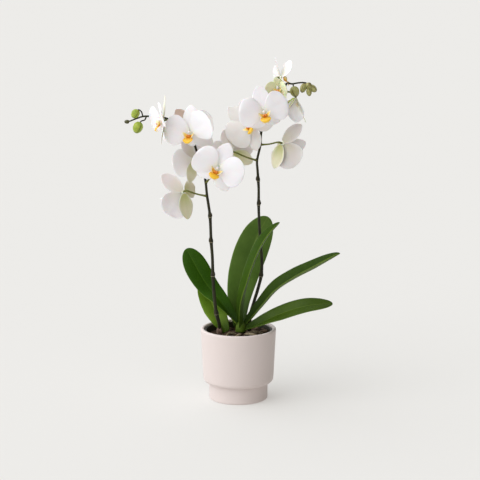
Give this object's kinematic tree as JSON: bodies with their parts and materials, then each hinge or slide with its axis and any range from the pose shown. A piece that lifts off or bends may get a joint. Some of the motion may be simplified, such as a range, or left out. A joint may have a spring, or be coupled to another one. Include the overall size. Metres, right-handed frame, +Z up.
{
  "type": "potted orchid",
  "caption": "White moth orchid with tall arching flower spikes, strap leaves, buds and aerial roots, planted in bark in a grower's pot inside a stepped pale ceramic pot.",
  "frame": {"origin": "centre of the ceramic pot's flat underside, on the surface it stands on", "axes": "+Z up through the pot's axis, +X to the right of the front view along the two spikes' tips, +Y away from the viewer"},
  "size_m": [0.3783, 0.1413, 0.6089],
  "materials": {
    "pot": "matte",
    "liner": "satin",
    "bark": "matte",
    "root": "matte",
    "crown": "satin",
    "leaf": "satin",
    "spike": "satin",
    "bud": "satin",
    "petal": "matte",
    "lip": "satin"
  },
  "bodies": {
    "root": {"pot": "pot", "nursery_pot": "liner", "bark": "bark", "roots": "root", "crown": "crown", "leaf_middle_front": "leaf", "leaf_middle_back": "leaf", "leaf_right_upper": "leaf", "leaf_left_upper": "leaf", "leaf_right_lower": "leaf", "leaf_left_lower": "leaf", "spike_left": "spike", "buds_left": "bud", "spike_right": "spike", "buds_right": "bud", "bloom_left_1": "petal", "lip_left_1": "lip", "bloom_left_2": "petal", "lip_left_2": "lip", "bloom_left_3": "petal", "lip_left_3": "lip", "bloom_left_4": "petal", "lip_left_4": "lip", "bloom_left_5": "petal", "lip_left_5": "lip", "bloom_left_6": "petal", "lip_left_6": "lip", "bloom_right_1": "petal", "lip_right_1": "lip", "bloom_right_2": "petal", "lip_right_2": "lip", "bloom_right_3": "petal", "lip_right_3": "lip", "bloom_right_4": "petal", "lip_right_4": "lip", "bloom_right_5": "petal", "lip_right_5": "lip", "bloom_right_6": "petal", "lip_right_6": "lip", "bloom_right_7": "petal", "lip_right_7": "lip"}
  },
  "joints": []
}
